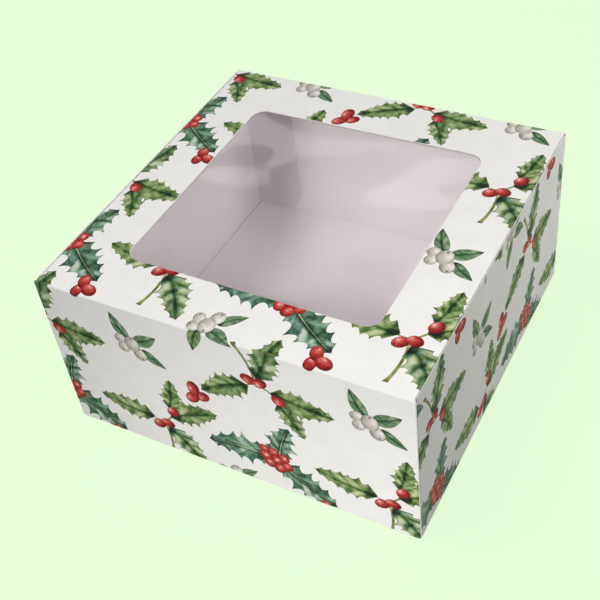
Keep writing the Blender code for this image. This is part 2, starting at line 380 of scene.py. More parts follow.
WARM_LEAF = (
    (0.0, "16221A"), (0.16, "2B4426"), (0.36, "56753D"), (0.56, "859963"), (0.76, "AEB886"), (1.0, "CDD4A8"),
)
COOL_LEAF = (
    (0.0, "10201A"), (0.16, "213B2D"), (0.36, "43654F"), (0.56, "6C8F77"), (0.76, "9CB5A0"), (1.0, "C2D3C3"),
)
RED_BERRY = (
    (0.0, "4E1014"), (0.28, "861F22"), (0.52, "AE3432"), (0.74, "C95851"), (0.9, "DE8E86"), (1.0, "EFC0B8"),
)
WHITE_BERRY = ((0.0, "867F75"), (0.3, "B6B0A5"), (0.56, "D2CDC2"), (0.8, "E4E0D7"), (1.0, "F2F0E8"))
STEM = ((0.25, "4E5A2C"), (0.5, "848C4A"), (0.75, "B0B170"))
SHADE = ((0.3, "16150F"), (0.5, "2A2A1C"), (0.7, "48271F"))


def ink_surface(net, colour):
    return paper_surface(net, colour, 0.46, 0.15, 0.05)


def side_veins(net, x, y, across, bloom, seed, count):
    """Veins that run forward from the midrib: the pale cushions between them, and their own thin lines."""
    side = net.math("SIGN", y) * 0.23
    along = x * count - across * count + (bloom - 0.5) * 0.5 + side + 4.0
    cell = net.math("FRACT", along)
    number = net.vector(net.math("FLOOR", along), side, seed)
    chance = net.node("TexWhiteNoise", {"Vector": number}, noise_dimensions="3D")
    cushion = net.spread(net.math("SINE", cell * pi), 0.2, 1.0)
    away = net.spread(across, 0.012, 0.07)
    strength = net.spread(chance.outputs["Value"], 0.1, 0.85, 0.1, 1.0)
    pale = cushion * away * strength
    line = net.spread(abs(cell - 0.5), 0.43, 0.5)
    return pale, line * away


def leaf_ink(name, veins, relief):
    """Watercolour leaf. x runs from the stalk to the tip and y across, in leaf lengths."""
    net = Net(name)
    x, raw, rim = net.attribute("ink_place")
    seed, bend, tone = net.attribute("ink_facts")
    y = raw - x * (1.0 - x) * (bend * 4.0)
    across = abs(y)
    where = net.vector(x + seed * 37.0, y, seed)
    wash = net.noise(where, 4.2, 2.0, 0.5, 0.9)
    bloom = net.noise(where, 10.0, 3.0, 0.55, 1.2)
    grain = net.noise(where, 55.0, 3.0, 0.6, 0.4)
    pale, vein = side_veins(net, x, y, across, bloom, seed, veins)
    root = net.spread(x, 0.0, 0.24, 1.0, 0.0)
    tip = net.spread(x, 0.84, 0.98)
    shadow = net.spread(across, 0.0, 0.065, 1.0, 0.0) * net.spread(y, -0.02, 0.02, 1.0, 0.3)
    value = 0.44 + (wash - 0.5) * (1.45 * relief) + (bloom - 0.5) * (0.6 * relief) + (grain - 0.5) * 0.16
    value = value + pale * (0.36 * relief) - root * 0.42 - tip * 0.25 - shadow * 0.30
    drift = (bloom - 0.5) * 1.1 + root * 0.35
    coolness = net.spread(tone + drift, 0.25, 0.75)
    colour = net.mix(coolness, net.ramp(value, WARM_LEAF), net.ramp(value, COOL_LEAF))
    # Midrib: a dark line on the warm leaves and a pale one on the cool leaves
    width = (1.04 - x) * 0.015
    rib = net.spread(across, width * 0.4, width, 1.0, 0.0)
    cool_leaf = net.spread(tone, 0.6, 0.7)
    strong = net.spread(wash, 0.35, 0.6, 0.35, 0.9) * rib
    colour = net.mix(strong, colour, net.mix(cool_leaf, "2A3F22", "CBD3A2"))
    colour = net.mix(vein * (0.26 * relief), colour, "3B5633")
    # The paint gathers at the margin: olive and brown on the warm leaves, dark green on the cool ones
    border = net.spread(rim, 0.0, 1.0, 1.0, 0.0) * net.spread(wash, 0.35, 0.6, 0.85, 0.45)
    olive = net.mix(net.spread(bloom, 0.42, 0.58), "4A4A22", "8F8846")
    return ink_surface(net, net.mix(border, colour, net.mix(cool_leaf, olive, "213829")))


def stem_ink():
    """Watercolour stem. x runs from its root to its cut end, which is dark."""
    net = Net("stem_ink")
    x, raw, _ = net.attribute("ink_place")
    seed = net.attribute("ink_facts")[0]
    where = net.vector(x + seed * 11.0, raw, seed)
    colour = net.ramp(net.noise(where, 8.0, 3.0, 0.6), STEM)
    cut = net.spread(x, 0.93, 1.0) * 0.85
    return ink_surface(net, net.mix(cut, colour, "3A3A22"))


def berry_ink(name, stops, rim_colour, dot_colour):
    """Watercolour berry. x and y run from -1 to 1, and the dried flower is a dot near x = 0.66."""
    net = Net(name)
    x, y, _ = net.attribute("ink_place")
    seed, lit_x, lit_y = net.attribute("ink_facts")
    wash = net.noise(net.vector(x + seed * 9.0, y, seed), 1.6, 3.0, 0.55, 0.4)
    from_light = net.size(x - lit_x, y - lit_y)
    colour = net.ramp(0.97 - from_light * 0.58 + (wash - 0.5) * 0.9, stops)
    edge = net.spread(net.size(x, y), 0.8, 1.0) * net.spread(wash, 0.35, 0.6, 0.9, 0.4)
    colour = net.mix(edge, colour, rim_colour)
    from_dot = net.size(x - 0.66, y)
    dot = net.spread(from_dot + wash * 0.12, 0.14, 0.23, 0.85, 0.0)
    return ink_surface(net, net.mix(dot, colour, dot_colour))


def shade_ink():
    """The dark wash between close berries."""
    net = Net("shade_ink")
    return ink_surface(net, net.ramp(net.noise(net.place(), 260.0, 3.0, 0.6), SHADE))


def inks():
    """The inks by the names that the shapes give them. Smooth leaves have fewer and fainter veins."""
    return {
        "leaf": leaf_ink("leaf_ink", 4.6, 1.0),
        "small_leaf": leaf_ink("small_leaf_ink", 3.0, 0.55),
        "stem": stem_ink(),
        "red": berry_ink("red_berry_ink", RED_BERRY, "6A1719", "2A1010"),
        "white": berry_ink("white_berry_ink", WHITE_BERRY, "807970", "4A3F38"),
        "shade": shade_ink(),
    }


# Drawing of the print. Lengths are in millimetres on the flat board.

class Shape:
    """One painted shape: a polygon on the flat board, and the facts that its ink needs."""

    def __init__(self, ink, place, angle, length, flip, seed):
        self.ink = ink
        self.place = np.array(place, float)
        self.along = np.array((cos(angle), sin(angle)))
        self.across = np.array((-sin(angle), cos(angle))) * flip
        self.length = length
        self.seed = seed
        self.inner = None

    def sheet(self, points):
        """Points of the shape's own axes, placed on the sheet."""
        points = np.array(points, float) * self.length
        return self.place + points[:, :1] * self.along + points[:, 1:] * self.across

    def own(self, points):
        """Points of the sheet in the shape's own axes."""
        offset = (np.array(points, float) - self.place) / self.length
        return np.stack([offset @ self.along, offset @ self.across], axis=1)


def arch(x, bend):
    """Height of a bent midrib at x, from 0 at the stalk to 1 at the tip."""
    return 4 * bend * x * (1 - x)


def leaf_side(spines, width, hollow, rng):
    """One margin of a leaf from stalk to tip as (x, y) points, with a hollow between each two spines."""
    def envelope(x):
        if x < 0.36:
            return width * sin(0.5 * pi * (x / 0.36) ** 0.8) ** 0.7
        return width * (1 - (x - 0.36) / 0.64) ** 0.85

    tips = [(0.0, 0.012)]
    for i in range(spines):
        x = 0.13 + 0.68 * (i + 0.16 * rng.uniform(-1, 1)) / max(1, spines - 1)
        tips.append((x + 0.03, envelope(x) * rng.uniform(1.0, 1.16) + 0.014))
    tips.append((1.0, 0.0))
    points = [tips[0]]
    for i, ((x0, y0), (x1, y1)) in enumerate(zip(tips, tips[1:])):
        depth = hollow * envelope((x0 + x1) / 2) * rng.uniform(0.85, 1.15) + 0.014
        if i == 0:
            depth = -0.04 * width
        if i == spines:
            depth = 0.48 * y0
        for step in range(1, SPINE_STEPS + 1):
            t = step / SPINE_STEPS
            x = x0 + (x1 - x0) * t + 0.06 * (x1 - x0) * sin(pi * t)
            y = y0 + (y1 - y0) * t - depth * sin(pi * t) ** 0.7
            points.append((x, max(0.0, y)))
    points[-1] = (1.0, 0.0)
    return points


def smooth_side(width):
    """One margin of a leaf without spines."""
    points = []
    for step in range(SMOOTH_STEPS + 1):
        x = step / SMOOTH_STEPS
        points.append((x, width * sin(pi * x ** 0.75) ** 0.9 + 0.012 * (1 - x)))
    return points


def leaf(place, angle, length, width, bend, flip, rng, spines=6, tone=(0.0, 0.5), hollow=0.28):
    """A leaf from its stalk. Width and bend are shares of its length, and tone runs from warm to cool."""
    shape = Shape("leaf" if spines else "small_leaf", place, radians(angle), length, flip, rng.random())
    if spines:
        upper = leaf_side(spines, width, hollow, rng)
        lower = leaf_side(spines, width * rng.uniform(0.88, 1.02), hollow, rng)
    else:
        upper = smooth_side(width)
        lower = smooth_side(width)
    shape.margins = (np.array(lower), np.array(upper))
    outline = [(x, -y) for x, y in lower] + [(x, y) for x, y in reversed(upper[:-1])]
    shape.outline = shape.sheet([(x, y + arch(x, bend)) for x, y in outline])
    shape.rim = RIM / length
    ring = []
    for x, y in outline:
        y_in = copysign(max(0.0, abs(y) - shape.rim), y)
        ring.append((0.03 + 0.93 * x, y_in + arch(x, bend)))
    shape.inner = shape.sheet(ring)
    shape.facts = (shape.seed, bend, rng.uniform(*tone))
    return shape


def stem(start, end, bend, thick, thin, rng):
    """A bent stem, thin at its start and thick at its cut end, where it flares."""
    start, end = np.array(start, float), np.array(end, float)
    reach = end - start
    length = float(np.hypot(*reach))
    shape = Shape("stem", start, atan2(reach[1], reach[0]), length, 1, rng.random())
    sides = []
    for sign in (-1, 1):
        side = []
        for step in range(STEM_STEPS + 1):
            x = step / STEM_STEPS
            flare = max(0.0, x - 0.88) * 4.0
            half = (thin + (thick - thin) * x) * (1 + flare) / 2 / length
            side.append((x, sign * half + arch(x, bend)))
        sides.append(side)
    shape.outline = shape.sheet(sides[0] + sides[1][::-1])
    shape.facts = (shape.seed, bend, 0.0)
    return shape


def berry(ink, place, angle, long, short, rng):
    """An oval berry, long and short from its middle."""
    turn = radians(angle)
    shape = Shape(ink, place, turn, 1.0, 1, rng.random())
    points = []
    for step in range(BERRY_STEPS):
        at = 2 * pi * step / BERRY_STEPS
        points.append((long * cos(at), short * sin(at)))
    shape.outline = shape.sheet(points)
    shape.scale = (long, short)
    # The painted light falls from the upper left of the sheet, and is nearly central on round berries
    lit = (-0.30, 0.40) if long > 1.1 * short else (-0.1, 0.15)
    lit_x = lit[0] * cos(turn) + lit[1] * sin(turn)
    lit_y = -lit[0] * sin(turn) + lit[1] * cos(turn)
    shape.facts = (shape.seed, lit_x, lit_y)
    return shape


def stalk_sprig(rng):
    """Holly with spiny leaves, oval berries and a long stalk."""
    return [
        stem((0, 0), (-8, -33), 0.08, 2.3, 1.5, rng),
        stem((0, 0), (14, 12), -0.12, 1.2, 1.5, rng),
        stem((0, 0), (-11, 6), 0.10, 1.0, 1.3, rng),
        leaf((9, 5), 12, 46, 0.255, 0.035, 1, rng),
        leaf((-6, 3), 157, 45, 0.24, -0.04, -1, rng),
        leaf((2, -5), -66, 44, 0.245, 0.05, 1, rng),
        leaf((12, 13), 66, 33, 0.26, 0.04, -1, rng, 5),
        berry("red", (-4.6, -3.2), 200, 5.4, 4.2, rng),
        berry("red", (3.4, -1.6), 335, 5.2, 4.1, rng),
        berry("red", (13.5, 10.5), 35, 5.2, 4.3, rng),
    ]


def cluster_sprig(rng):
    """Broad spiny leaves round a close cluster of round berries."""
    cool = (0.78, 1.0)
    parts = [
        leaf((4, 1), 16, 48, 0.30, -0.03, 1, rng, 5, cool, 0.40),
        leaf((-1, 4), 122, 37, 0.31, 0.04, 1, rng, 4, cool, 0.40),
        leaf((-4, -2), 236, 49, 0.29, 0.035, -1, rng, 5, cool, 0.40),
    ]
    parts.append(berry("shade", (-0.5, 0.0), 0, 8.4, 7.2, rng))
    spots = (
        (-10.7, -0.5), (0.4, 7.0), (-6.7, 3.7), (7.0, 3.7),
        (-5.8, -4.7), (6.8, -3.9), (0.7, -7.0), (0.2, 0.2),
    )
    for i, (x, y) in enumerate(spots):
        parts.append(berry("red", (x, y), 57 * i, 4.4, 4.1, rng))
    return parts


def white_sprig(rng):
    """Pale berries with small smooth leaves."""
    tone = (0.35, 0.75)
    return [
        leaf((1, 3), 122, 20, 0.24, 0.04, 1, rng, 0, tone),
        leaf((4, 2), 36, 22, 0.2, -0.05, 1, rng, 0, tone),
        leaf((-5, 1), 184, 19, 0.2, 0.04, 1, rng, 0, tone),
        berry("shade", (1.0, -1.5), 0, 5.0, 4.0, rng),
        berry("white", (8.8, -1.6), 300, 4.4, 3.8, rng),
        berry("white", (4.6, -7.0), 260, 4.6, 4.0, rng),
        berry("white", (-6.0, -4.0), 220, 5.4, 4.6, rng),
        berry("white", (1.0, 0.2), 60, 6.2, 5.4, rng),
    ]


def trio_sprig(rng):
    """Three oval berries by themselves."""
    return [
        berry("red", (1.0, -4.4), 318, 5.6, 4.2, rng),
        berry("shade", (0.3, 0.8), 0, 2.2, 2.4, rng),
        berry("red", (-4.6, 2.2), 152, 6.2, 4.4, rng),
        berry("red", (4.8, 2.6), 14, 6.4, 4.6, rng),
    ]


# Sprigs of one repeat: kind, place in the repeat as shares, turn in degrees, mirrored, size
REPEAT = (
    (stalk_sprig, 0.24, 0.27, 14, False, 1.0),
    (white_sprig, 0.545, 0.035, 215, False, 1.0),
    (cluster_sprig, 0.77, 0.28, -50, False, 1.0),
    (trio_sprig, 0.45, 0.56, 75, False, 1.0),
    (stalk_sprig, 0.74, 0.77, 186, True, 0.97),
    (white_sprig, 0.20, 0.76, -30, True, 1.05),
    (trio_sprig, 0.985, 0.03, -40, False, 0.95),
)


def moved(shape, origin, turn, mirror, size):
    """The shape turned, mirrored and sized about its sprig's centre, then set at the origin."""
    sign = -1 if mirror else 1
    cosine, sine = cos(turn), sin(turn)
    matrix = np.array(((cosine * sign, -sine), (sine * sign, cosine))) * size
    for name in ("outline", "inner"):
        points = getattr(shape, name)
        if points is not None:
            setattr(shape, name, points @ matrix.T + origin)
    shape.place = matrix @ shape.place + origin
    shape.along = matrix @ shape.along / size
    shape.across = matrix @ shape.across / size
    shape.length *= size
    return shape


def repeats(low, high, start, size):
    """Numbers of the repeats that may reach between low and high."""
    return range(floor((low - start) / size) - 1, ceil((high - start) / size) + 1)


def pattern(bounds, start):
    """Shapes of the repeating print that touch the bounds (left, low, right, high), in drawing order."""
    left, low, right, high = bounds
    shapes = []
    for column in repeats(left, right, start[0], REPEAT_WIDTH):
        for row in repeats(low, high, start[1], REPEAT_HEIGHT):
            corner = np.array((start[0] + column * REPEAT_WIDTH, start[1] + row * REPEAT_HEIGHT))
            for i, (sprig, x, y, turn, mirror, size) in enumerate(REPEAT):
                rng = random.Random(PRINT_SEED + i)
                origin = corner + (x * REPEAT_WIDTH, y * REPEAT_HEIGHT)
                for shape in sprig(rng):
                    shape = moved(shape, origin, radians(turn), mirror, size)
                    lowest, highest = shape.outline.min(0), shape.outline.max(0)
                    if highest[0] > left and lowest[0] < right and highest[1] > low and lowest[1] < high:
                        shapes.append(shape)
    return shapes


# Sheets of board

# Part of a flat sheet: its outline in millimetres, a function that puts a flat point on the box, and lines
Region = namedtuple("Region", "name outline place lines", defaults=[()])


def flat(*lengths):
    """Lengths in metres as millimetres on the flat sheet."""
    return [length * TO_MM for length in lengths]


def box_outline(left, low, right, high):
    return [(left, low), (right, low), (right, high), (left, high)]


def fold_region(name, bounds, place, upright=False):
    """A fold within (left, low, right, high), with lines along it so that it bends evenly."""
    left, low, right, high = bounds
    lines = []
    for step in range(FOLD_STEPS + 1):
        if upright:
            x = left + (right - left) * step / FOLD_STEPS
            lines.append(((x, low), (x, high)))
        else:
            y = low + (high - low) * step / FOLD_STEPS
            lines.append(((left, y), (right, y)))
    return Region(name, box_outline(*bounds), place, lines)


def on_fold(centre, start, end, turn):
    """Point and outward way on a fold whose face turns from the start direction towards the end direction."""
    outward = [a * cos(turn) + b * sin(turn) for a, b in zip(start, end)]
    return [middle + FOLD * way for middle, way in zip(centre, outward)], outward


def rounded(corners, steps=CORNER_STEPS):
    """Outline of (x, y, radius) corners, with arcs at the round ones."""
    outline = []
    for i, (x, y, radius) in enumerate(corners):
        here = Vector((x, y))
        if radius <= 0:
            outline.append((x, y))
            continue
        before = (Vector(corners[i - 1][:2]) - here).normalized()
        after = (Vector(corners[(i + 1) % len(corners)][:2]) - here).normalized()
        half = before.angle(after) / 2
        centre = here + (before + after).normalized() * radius / sin(half)
        start = here + before * radius / tan(half) - centre
        end = here + after * radius / tan(half) - centre
        sweep = start.angle_signed(end)
        for step in range(steps + 1):
            turn = -sweep * step / steps
            outline.append((
                centre.x + start.x * cos(turn) - start.y * sin(turn),
                centre.y + start.x * sin(turn) + start.y * cos(turn),
            ))
    return outline


def counter_clockwise(points):
    x, y = points[:, 0], points[:, 1]
    area = float(np.sum(x * np.roll(y, -1) - y * np.roll(x, -1)))
    return points if area > 0 else points[::-1]


class Sheet:
    """A flat sheet cut into regions, with the print's outlines set into its faces."""

    def __init__(self, regions, shapes, holes=()):
        self.regions = regions
        outlines = [region.outline for region in regions] + list(holes)
        first_shape = len(outlines)
        outlines += [shape.outline for shape in shapes]
        vertices = []

        def add(points):
            start = len(vertices)
            vertices.extend(Vector((float(x), float(y))) for x, y in points)
            return list(range(start, len(vertices)))

        faces = [add(counter_clockwise(np.array(outline))) for outline in outlines]
        edges = []
        for shape in shapes:
            if shape.inner is not None:
                numbers = add(shape.inner)
                edges.extend(zip(numbers, numbers[1:]))
        edges += [tuple(add(line)) for region in regions for line in region.lines]
        found = delaunay_2d_cdt(vertices, edges, faces, 0, SAME_PLACE, True)
        self.points = np.array([tuple(point) for point in found[0]])
        self.triangles = [[] for _ in regions]
        for triangle, inside in zip(found[2], found[5]):
            home = [i for i in inside if i < len(regions)]
            if not home or any(len(regions) <= i < first_shape for i in inside):
                continue
            # Where shapes overlap, the one drawn last is on top
            top = max(inside)
            shape = shapes[top - first_shape] if top >= first_shape else None
            self.triangles[home[0]].append((tuple(triangle), shape))


def ink_place(shape, points):
    """The ink's coordinates of some points of a shape, and how far a leaf's points are from its margin."""
    own = shape.own(points)
    third = np.ones(len(own))
    if shape.ink in ("leaf", "small_leaf"):
        bend = shape.facts[1]
        y = own[:, 1] - arch(own[:, 0], bend)
        lower, upper = (np.interp(own[:, 0], side[:, 0], side[:, 1]) for side in shape.margins)
        third = np.clip((np.where(y < 0, lower, upper) - np.abs(y)) / shape.rim, 0, 1)
    if shape.ink in ("red", "white", "shade"):
        own = own / np.array(shape.scale)
    return np.column_stack([own, third])


def new_object(name, data):
    made = bpy.data.objects.new(name, data)
    bpy.context.scene.collection.objects.link(made)
    return made


def mesh_object(name, points, faces, materials):
    """An object of these points and faces, smooth except at its sharp edges."""
    mesh = bpy.data.meshes.new(name)
    mesh.from_pydata(points, [], faces)
    for material in materials:
        mesh.materials.append(material)
    mesh.shade_smooth()
    mesh.set_sharp_from_angle(angle=SHARP)
    return new_object(name, mesh)


def make_piece(name, sheet, region_names):
    """A solid board from some regions of a sheet: printed outside, plain inside, raw at its edges."""
    numbers = {}
    outer, inner, faces, shapes, corners = [], [], [], [], []

    def number(i, region):
        if i not in numbers:
            point, outward = region.place(*(sheet.points[i] * MM))
            numbers[i] = len(outer)
            outer.append(Vector(point))
            inner.append(Vector(point) - Vector(outward) * BOARD)
        return numbers[i]

    for region, triangles in zip(sheet.regions, sheet.triangles):
        if region.name in region_names:
            for triangle, shape in triangles:
                faces.append(tuple(number(i, region) for i in triangle))
                corners.append(sheet.points[list(triangle)])
                shapes.append(shape)
    count = len(outer)
    edges = {(a, b): True for face in faces for a, b in zip(face, face[1:] + face[:1])}
    inside = [tuple(i + count for i in reversed(face)) for face in faces]
    rims = [(b, a, a + count, b + count) for a, b in edges if (b, a) not in edges]
    points = [tuple(point) for point in outer + inner]
    made = mesh_object(name, points, faces + inside + rims, BOARD_MATERIALS)
    slots = [INK_SLOTS[shape.ink] if shape else OUTSIDE for shape in shapes]
    slots += [INSIDE] * len(inside) + [EDGE] * len(rims)
    made.data.polygons.foreach_set("material_index", slots)
    layers = {key: np.zeros((len(made.data.loops), 3), np.float32) for key in ("ink_place", "ink_facts")}
    for i, (shape, triangle) in enumerate(zip(shapes, corners)):
        if shape:
            layers["ink_place"][3 * i:3 * i + 3] = ink_place(shape, triangle)
            layers["ink_facts"][3 * i:3 * i + 3] = shape.facts
    for key, data in layers.items():
        made.data.attributes.new(key, "FLOAT_VECTOR", "CORNER").data.foreach_set("vector", data.ravel())
    return made


def window_edges():
    """The window's left, right, front and back edge, set in from the film's by what the lid covers."""
    low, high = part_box("window_film")
    return low.x + LID_COVER, high.x - LID_COVER, low.y + LID_COVER, high.y - LID_COVER


def window_outline(window):
    left, right, front, back = (edge / MM for edge in window)
    corners = [(x, y, WINDOW_CORNER / MM) for x, y in box_outline(left, front, right, back)]
    return rounded(corners, WINDOW_STEPS)


def cut_lean(u, v, window):
    """The way through the lid's board: upright, but leaning at the window as the knife's wedge leaves it."""
    left, right, front, back = window
    inner_u = max(left + WINDOW_CORNER, min(right - WINDOW_CORNER, u))
    inner_v = max(front + WINDOW_CORNER, min(back - WINDOW_CORNER, v))
    away = Vector((u - inner_u, v - inner_v, 0))
    if abs(away.length - WINDOW_CORNER) > CUT_NEAR:
        return UP
    return away.normalized() * (CUT_LEAN / BOARD) + Vector(UP)


def lid_sheet():
    """Front flap, lid, back wall and dust flaps as one flat sheet, so the print runs on over their folds."""
    lid_low, lid_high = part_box("lid_panel")
    flap_low, flap_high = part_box("front_flap")
    dust_low, dust_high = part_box("right_dust_flap")
    window = window_edges()
    # Centres of the folds at the front, back and sides of the lid, and their height
    front_bend = lid_low.y + FOLD
    back_bend = lid_high.y - FOLD
    side_bend = lid_high.x - FOLD
    level = lid_high.z - FOLD
    wall_height = level - FOLD

    def on_lid(u, v):
        return (u, v, lid_high.z), cut_lean(u, v, window)

    def front_fold(u, v):
        return on_fold((u, front_bend, level), UP, FRONT, (front_bend - v) / FOLD)

    def front_face(u, v):
        return (u, lid_low.y, level - (front_bend - FOLD_ARC - v)), FRONT

    def back_fold(u, v):
        return on_fold((u, back_bend, level), UP, BACK, (v - back_bend) / FOLD)

    def back_face(u, v):
        return (u, lid_high.y, level - (v - back_bend - FOLD_ARC)), BACK

    def back_foot(u, v):
        return on_fold((u, back_bend, FOLD), BACK, DOWN, (v - back_bend - FOLD_ARC - wall_height) / FOLD)

    def side_fold(u, v):
        side = copysign(1, u)
        return on_fold((side * side_bend, v, level), UP, (side, 0, 0), (abs(u) - side_bend) / FOLD)

    def side_face(u, v):
        side = copysign(1, u)
        return (side * lid_high.x, v, level - (abs(u) - side_bend - FOLD_ARC)), (side, 0, 0)

    front, back, inner, outer, half = flat(front_bend, back_bend, side_bend, lid_high.x, flap_high.x)
    arc, drop, wall, radius = flat(FOLD_ARC, level - flap_low.z, wall_height, FLAP_RADIUS)
    near, far = flat(dust_low.y, dust_high.y)
    lid = [
        (-outer, front), (outer, front), (outer, near), (inner, near), (inner, far), (outer, far),
        (outer, back), (-outer, back), (-outer, far), (-inner, far), (-inner, near), (-outer, near),
    ]
    fold_end = front - arc
    flap_end = fold_end - drop
    flap = [(-half, flap_end, radius), (half, flap_end, radius), (half, fold_end, 0), (-half, fold_end, 0)]
    foot = back + arc + wall
    regions = [
        Region("lid", lid, on_lid),
        fold_region("front_fold", (-half, fold_end, half, front), front_fold),
        Region("front", rounded(flap), front_face),
        fold_region("back_fold", (-half, back, half, back + arc), back_fold),
        Region("back", box_outline(-half, back + arc, half, foot), back_face),
        fold_region("back_foot", (-half, foot, half, foot + arc), back_foot),
    ]
    dust_height, dust_radius = flat(level - dust_low.z, DUST_RADIUS)
    taper = (dust_high.z - dust_low.z) * tan(DUST_TAPER) * TO_MM
    for side, name in ((1, "right_dust"), (-1, "left_dust")):
        start, root, end = side * inner, side * (inner + arc), side * (inner + arc + dust_height)
        left, right = sorted((start, root))
        regions.append(fold_region(name + "_fold", (left, near, right, far), side_fold, upright=True))
        tip = [(end, near + taper, dust_radius), (end, far - taper, dust_radius)]
        regions.append(Region(name, rounded([(root, near, 0), *tip, (root, far, 0)]), side_face))
    bounds = (-outer - DUST_PRINT, flap_end, outer + DUST_PRINT, foot + arc)
    return Sheet(regions, pattern(bounds, PRINT_STARTS["lid"]), [window_outline(window)])


def wall_sheet(node, side):
    """A side wall, right for 1 and left for -1, with its folds to the floor and to its corner tabs."""
    low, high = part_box(node)
    tab_low, tab_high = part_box("front_left_tab")
    face = max(high.x, -low.x)
    outward = (side, 0, 0)
    middle = side * (face - FOLD)
    front_bend = tab_low.y + FOLD
    back_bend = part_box("back_left_tab")[1].y - FOLD

    # Seen from outside, u runs to the right: to the back on the right wall, to the front on the left wall
    def on_wall(u, v):
        return (side * face, side * u, v), outward

    def foot(u, v):
        return on_fold((middle, side * u, FOLD), outward, DOWN, (FOLD - v) / FOLD)

    def front_end(u, v):
        return on_fold((middle, front_bend, v), outward, FRONT, (front_bend - side * u) / FOLD)

    def back_end(u, v):
        return on_fold((middle, back_bend, v), outward, BACK, (side * u - back_bend) / FOLD)

    arc, bottom, top, tab_bottom, tab_top = flat(FOLD_ARC, FOLD, high.z, tab_low.z, tab_high.z)
    front, back = flat(side * front_bend, side * back_bend)
    radii = dict(zip((front, back), flat(WALL_FRONT_RADIUS, WALL_BACK_RADIUS)))
    left, right = sorted(radii)
    wall = [(left, bottom, 0), (right, bottom, 0), (right, top, radii[right]), (left, top, radii[left])]
    regions = [
        Region("wall", rounded(wall), on_wall),
        fold_region("foot", (left, bottom - arc, right, bottom), foot),
    ]
    tab_top = min(tab_top, top - max(radii.values()))
    for edge, place in ((front, front_end), (back, back_end)):
        start, end = (edge - arc, edge) if edge == left else (edge, edge + arc)
        regions.append(fold_region("end", (start, tab_bottom, end, tab_top), place, upright=True))
    return Sheet(regions, pattern((left - arc, bottom - arc, right + arc, top), PRINT_STARTS[node]))


def front_sheet():
    """The tray's own front wall and its fold to the floor."""
    low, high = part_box("front_wall")

    def on_wall(u, v):
        return (u, low.y, v), FRONT

    def foot(u, v):
        return on_fold((u, low.y + FOLD, FOLD), FRONT, DOWN, (FOLD - v) / FOLD)

    half, top, bottom, arc, radius = flat(high.x, high.z, FOLD, FOLD_ARC, FLAP_RADIUS)
    wall = rounded([(-half, bottom, 0), (half, bottom, 0), (half, top, radius), (-half, top, radius)])
    regions = [
        Region("wall", wall, on_wall),
        fold_region("foot", (-half, bottom - arc, half, bottom), foot),
    ]
    return Sheet(regions, pattern((-half, bottom - arc, half, top), PRINT_STARTS["front_wall"]))


# Film

def reached(way, whole):
    """Share of the whole way that is done, from 0 to 1."""
    return max(0.0, min(1.0, way / whole))


def film_height(x, y, low, high, rise):
    """Height of the film's underside: low at the glue, close under the lid, slack and wavy in the middle."""
    inset = min(x - low.x, high.x - x, y - low.y, high.y - y)
    crease_shade = reached(inset - GLUE_REACH, LID_COVER - GLUE_REACH)
    free = reached(inset - LID_COVER, FILM_BORDER)
    free = free * free * (3 - 2 * free)
    wave = FILM_LEVEL
    for height, along_x, along_y, start in FILM_WAVES:
        wave += height * sin(along_x * x + along_y * y + start)
    return low.z + rise * crease_shade - FILM_SAG * free * max(0.0, wave)


def film_piece():
    """The clear film as a thin closed sheet on a square grid of points."""
    low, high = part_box("window_film")
    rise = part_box("lid_panel")[1].z - BOARD - FILM_SLACK - high.z
    bottom = []
    for j in range(FILM_GRID + 1):
        for i in range(FILM_GRID + 1):
            x = low.x + (high.x - low.x) * (i / FILM_GRID)
            y = low.y + (high.y - low.y) * (j / FILM_GRID)
            bottom.append((x, y, film_height(x, y, low, high, rise)))
    points = bottom + [(x, y, z + (high.z - low.z)) for x, y, z in bottom]
    faces = []
    row = FILM_GRID + 1
    layer = row * row
    for j in range(FILM_GRID):
        for under in range(j * row, j * row + FILM_GRID):
            over = under + layer
            faces.append((under, under + row, under + row + 1, under + 1))
            faces.append((over, over + 1, over + row + 1, over + row))
    rim = list(range(row))
    rim += [j * row + FILM_GRID for j in range(1, row)]
    rim += [FILM_GRID * row + i for i in range(FILM_GRID - 1, -1, -1)]
    rim += [j * row for j in range(FILM_GRID - 1, 0, -1)]
    for a, b in zip(rim, rim[1:] + rim[:1]):
        faces.append((a, b, b + layer, a + layer))
    return mesh_object("clear_film_sheet", points, faces, [clear_film()])


# Camera and studio

def set_camera():
    camera = new_object("camera", bpy.data.cameras.new("camera"))
    camera.data.lens = CAMERA_LENS
    camera.data.sensor_width = SENSOR
    camera.data.clip_start = 0.01
    camera.data.clip_end = 20.0
    camera.location = CAMERA_PLACE
    camera.rotation_euler = Euler([radians(angle) for angle in CAMERA_TURN], "XYZ")
    bpy.context.scene.camera = camera


def studio_world():
    """A dim even light, and behind the box the plain background."""
    net = Net("studio", world=True)
    seen = net.seen()
    ambient = net.node("Background", {"Color": AMBIENT_COLOUR, "Strength": AMBIENT})
    shown = net.node("Background", {"Color": BACKGROUND})
    return net.surface(net.node("MixShader", {0: seen, 1: ambient, 2: shown}))


def area_light(name, place, aim, size, power, unlit):
    """A rectangular light that no camera or mirror shows, and that leaves the unlit objects out."""
    data = bpy.data.lights.new(name, "AREA")
    data.shape = "RECTANGLE"
    data.size, data.size_y = size
    data.energy = power
    made = new_object(name, data)
    made.location = place
    made.rotation_euler = (Vector(aim) - Vector(place)).to_track_quat("-Z", "Y").to_euler()
    made.visible_camera = False
    made.visible_glossy = False
    if unlit:
        group = bpy.data.collections.new(name + "_receivers")
        for item in unlit:
            group.objects.link(bpy.data.objects[item])
        made.light_linking.receiver_collection = group
        for item in group.collection_objects:
            item.light_linking.link_state = "EXCLUDE"


